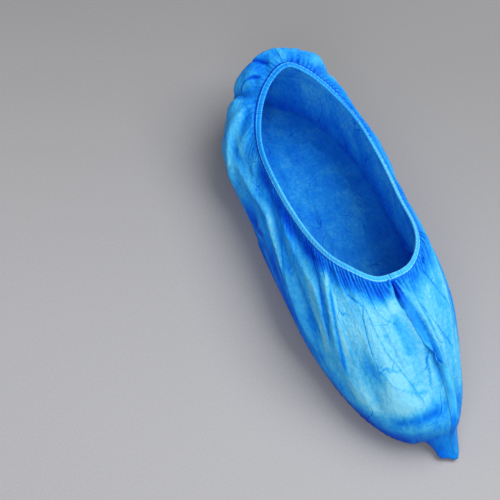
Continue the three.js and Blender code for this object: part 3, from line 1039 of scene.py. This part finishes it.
def filmMaterial():
    made, tree, shader = newMaterial("blue polythene film", 0.4, 0.08)
    flatSheet = node(tree, "ShaderNodeUVMap", uv_map="sheet").outputs["UV"]
    skin = node(tree, "ShaderNodeGroup", node_tree=crinkle)
    feed(tree, skin, "Vector", flatSheet)
    up = readAttribute(tree, "up")
    place = combined(tree, mathNode(tree, "MULTIPLY", readAttribute(tree, "flow"), 0.17),
                     mathNode(tree, "MULTIPLY", up, 2.0))
    marks = {
        "tone": readAttribute(tree, "tone"), "creased": readAttribute(tree, "creased"),
        "cloud": skin.outputs["Cloud"], "mottle": skin.outputs["Mottle"],
        "streak": noiseOn(tree, place, 1.0, 3.0),
        "lines": skin.outputs["Lines"], "beside": skin.outputs["HighlightBeside"],
    }
    tone = weightedSum(tree, *((marks[key], weight) for key, weight in filmTone.items()))
    middle = 0.5 * (filmTone["cloud"] + filmTone["mottle"] + filmTone["streak"])
    colour = toneColour(tree, mathNode(tree, "SUBTRACT", tone, middle))
    feed(tree, shader, "Base Color", colour)
    feed(tree, shader, "Roughness", ramp(tree, skin.outputs["Mottle"], 0.3, 0.7, 0.38, 0.5))
    aboveSole = ramp(tree, up, -0.1, 0.1, 0.15, 1.0)
    bumped(tree, shader, mathNode(tree, "MULTIPLY", skin.outputs["Height"], aboveSole), 1.0, 0.001)
    letThrough(tree, shader, colour, 0.15)
    return made


def hemMaterial():
    # pale casing, paler along its weld and its folded edge, with a tick at each gather
    made, tree, shader = newMaterial("gathered hem film", 0.38)
    height = readAttribute(tree, "heightInHem")
    place = combined(tree, readAttribute(tree, "place"), height)
    mottle = noiseOn(tree, place, 0.9, 3.0)
    weld = mathNode(tree, "MULTIPLY", ramp(tree, height, -0.75, -0.35),
                    ramp(tree, height, 0.0, 0.35, 1.0, 0.0))
    fold = ramp(tree, height, 2.4, 2.9)
    skirt = ramp(tree, height, -0.6, -0.9)
    ticks = ramp(tree, readAttribute(tree, "tick"), 0.2, -0.8)
    tone = weightedSum(
        tree, (weld, 0.6), (fold, 0.35), (skirt, -0.75), (ticks, -0.6), (mottle, 0.6),
        (readAttribute(tree, "ridge"), 0.12), (readAttribute(tree, "turnedIn"), -0.45))
    feed(tree, shader, "Base Color", toneColour(tree, tone))
    bumped(tree, shader, mottle, 0.6, 0.0003)
    return made


def weldMaterial():
    # film lying double and treble, mottled where it has melted, deeper in some places up the seam
    made, tree, shader = newMaterial("welded film edge", 0.4)
    across, upward = readAttribute(tree, "across"), readAttribute(tree, "upTheSeam")
    place = combined(tree, mathNode(tree, "MULTIPLY", upward, 20.0),
                     mathNode(tree, "MULTIPLY", across, 2.0))
    mottle = noiseOn(tree, place, 1.0, 3.0)
    middle = mathNode(tree, "MULTIPLY", ramp(tree, across, 0.0, 0.25),
                      ramp(tree, across, 0.75, 1.0, 1.0, 0.0))
    deep = readAttribute(tree, "deepness")
    tone = weightedSum(tree, (middle, -0.15), (deep, -1.0), (mottle, 1.0))
    tone = mathNode(tree, "SUBTRACT", tone, 0.03)
    feed(tree, shader, "Base Color", toneColour(tree, tone))
    bumped(tree, shader, mottle, 0.8, 0.0008)
    return made


def elasticMaterial():
    # matt pale rubber, faintly mottled
    made, tree, shader = newMaterial("pale elastic", 0.6)
    place = node(tree, "ShaderNodeTexCoord").outputs["Object"]
    mottle = noiseOn(tree, place, 900.0)
    colour = mixColour(tree, mottle, (0.72, 0.76, 0.78), (0.86, 0.88, 0.88))
    feed(tree, shader, "Base Color", colour)
    return made


hemFinish, weldFinish, elasticFinish = hemMaterial(), weldMaterial(), elasticMaterial()
filmPiece.data.materials.append(filmMaterial())
for piece, replaced, slot, finish in (
        (hemOuter, "hem_outer", "hem", hemFinish), (hemInner, "hem_inner", "hem", hemFinish),
        (toeFin, "toe_seam", "weld", weldFinish), (heelFin, "heel_seam", "weld", weldFinish)):
    piece.data.materials.append(finish)
    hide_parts(replaced)
    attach(piece, "root")
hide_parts("film_body")
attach(filmPiece, "root")
for name in ("elastic_outer", "elastic_inner"):
    kept = bpy.data.objects[name]
    kept.data.materials.clear()
    kept.data.materials.append(elasticFinish)

# The floor's colours are the darkest and lightest of its weave, near the cover and far behind it;
# the darker far colours are painted shade.
ground = {
    "size": 6,
    "weave": 700.0,
    "near": [(0.3, 0.295, 0.305), (0.36, 0.355, 0.365)],
    "far": [(0.185, 0.18, 0.18), (0.225, 0.22, 0.22)],
    "towardsFar": (0.61, 0.79, 0),
    "paintedShadeFade": (-0.2, 0.3),
}


def addFloor():
    bpy.ops.mesh.primitive_plane_add(size=ground["size"], location=(0, 0, floorZ))
    floor = bpy.context.object
    floor.name = "floor"
    made, tree, shader = newMaterial("grey floor", 0.8)
    place = node(tree, "ShaderNodeTexCoord").outputs["Object"]
    weave = noiseOn(tree, place, ground["weave"])
    away = node(tree, "ShaderNodeVectorMath", place, ground["towardsFar"], operation="DOT_PRODUCT")
    near, far = (mixColour(tree, weave, *ground[key]) for key in ("near", "far"))
    # painted shade: the floor grows darker away from the cover
    colour = mixColour(tree, ramp(tree, away.outputs["Value"], *ground["paintedShadeFade"]), near, far)
    feed(tree, shader, "Base Color", colour)
    floor.data.materials.append(made)


lights = {
    "key": {"at": (0.6, 0.05, 1.15), "size": 1.1, "power": 22.5},
    "front": {"at": (-0.75, -0.9, 0.85), "size": 0.9, "power": 9},
}
allRound = {"colour": (0.92, 0.93, 0.95, 1), "strength": 0.43}


def addLights():
    for name, light in lights.items():
        bpy.ops.object.light_add(type="AREA", location=light["at"])
        lamp = bpy.context.object
        lamp.name = name
        lamp.data.energy = light["power"]
        lamp.data.size = light["size"]
        towards = Vector((0, 0, 0.03)) - lamp.location
        lamp.rotation_euler = towards.to_track_quat("-Z", "Y").to_euler()
        lamp.select_set(False)
    world = bpy.data.worlds.new("studio")
    world.use_nodes = True
    background = world.node_tree.nodes["Background"].inputs
    background["Color"].default_value = allRound["colour"]
    background["Strength"].default_value = allRound["strength"]
    bpy.context.scene.world = world


addFloor()
addLights()
print("floor and lights placed")
bpy.context.scene.view_settings.view_transform = "Standard"
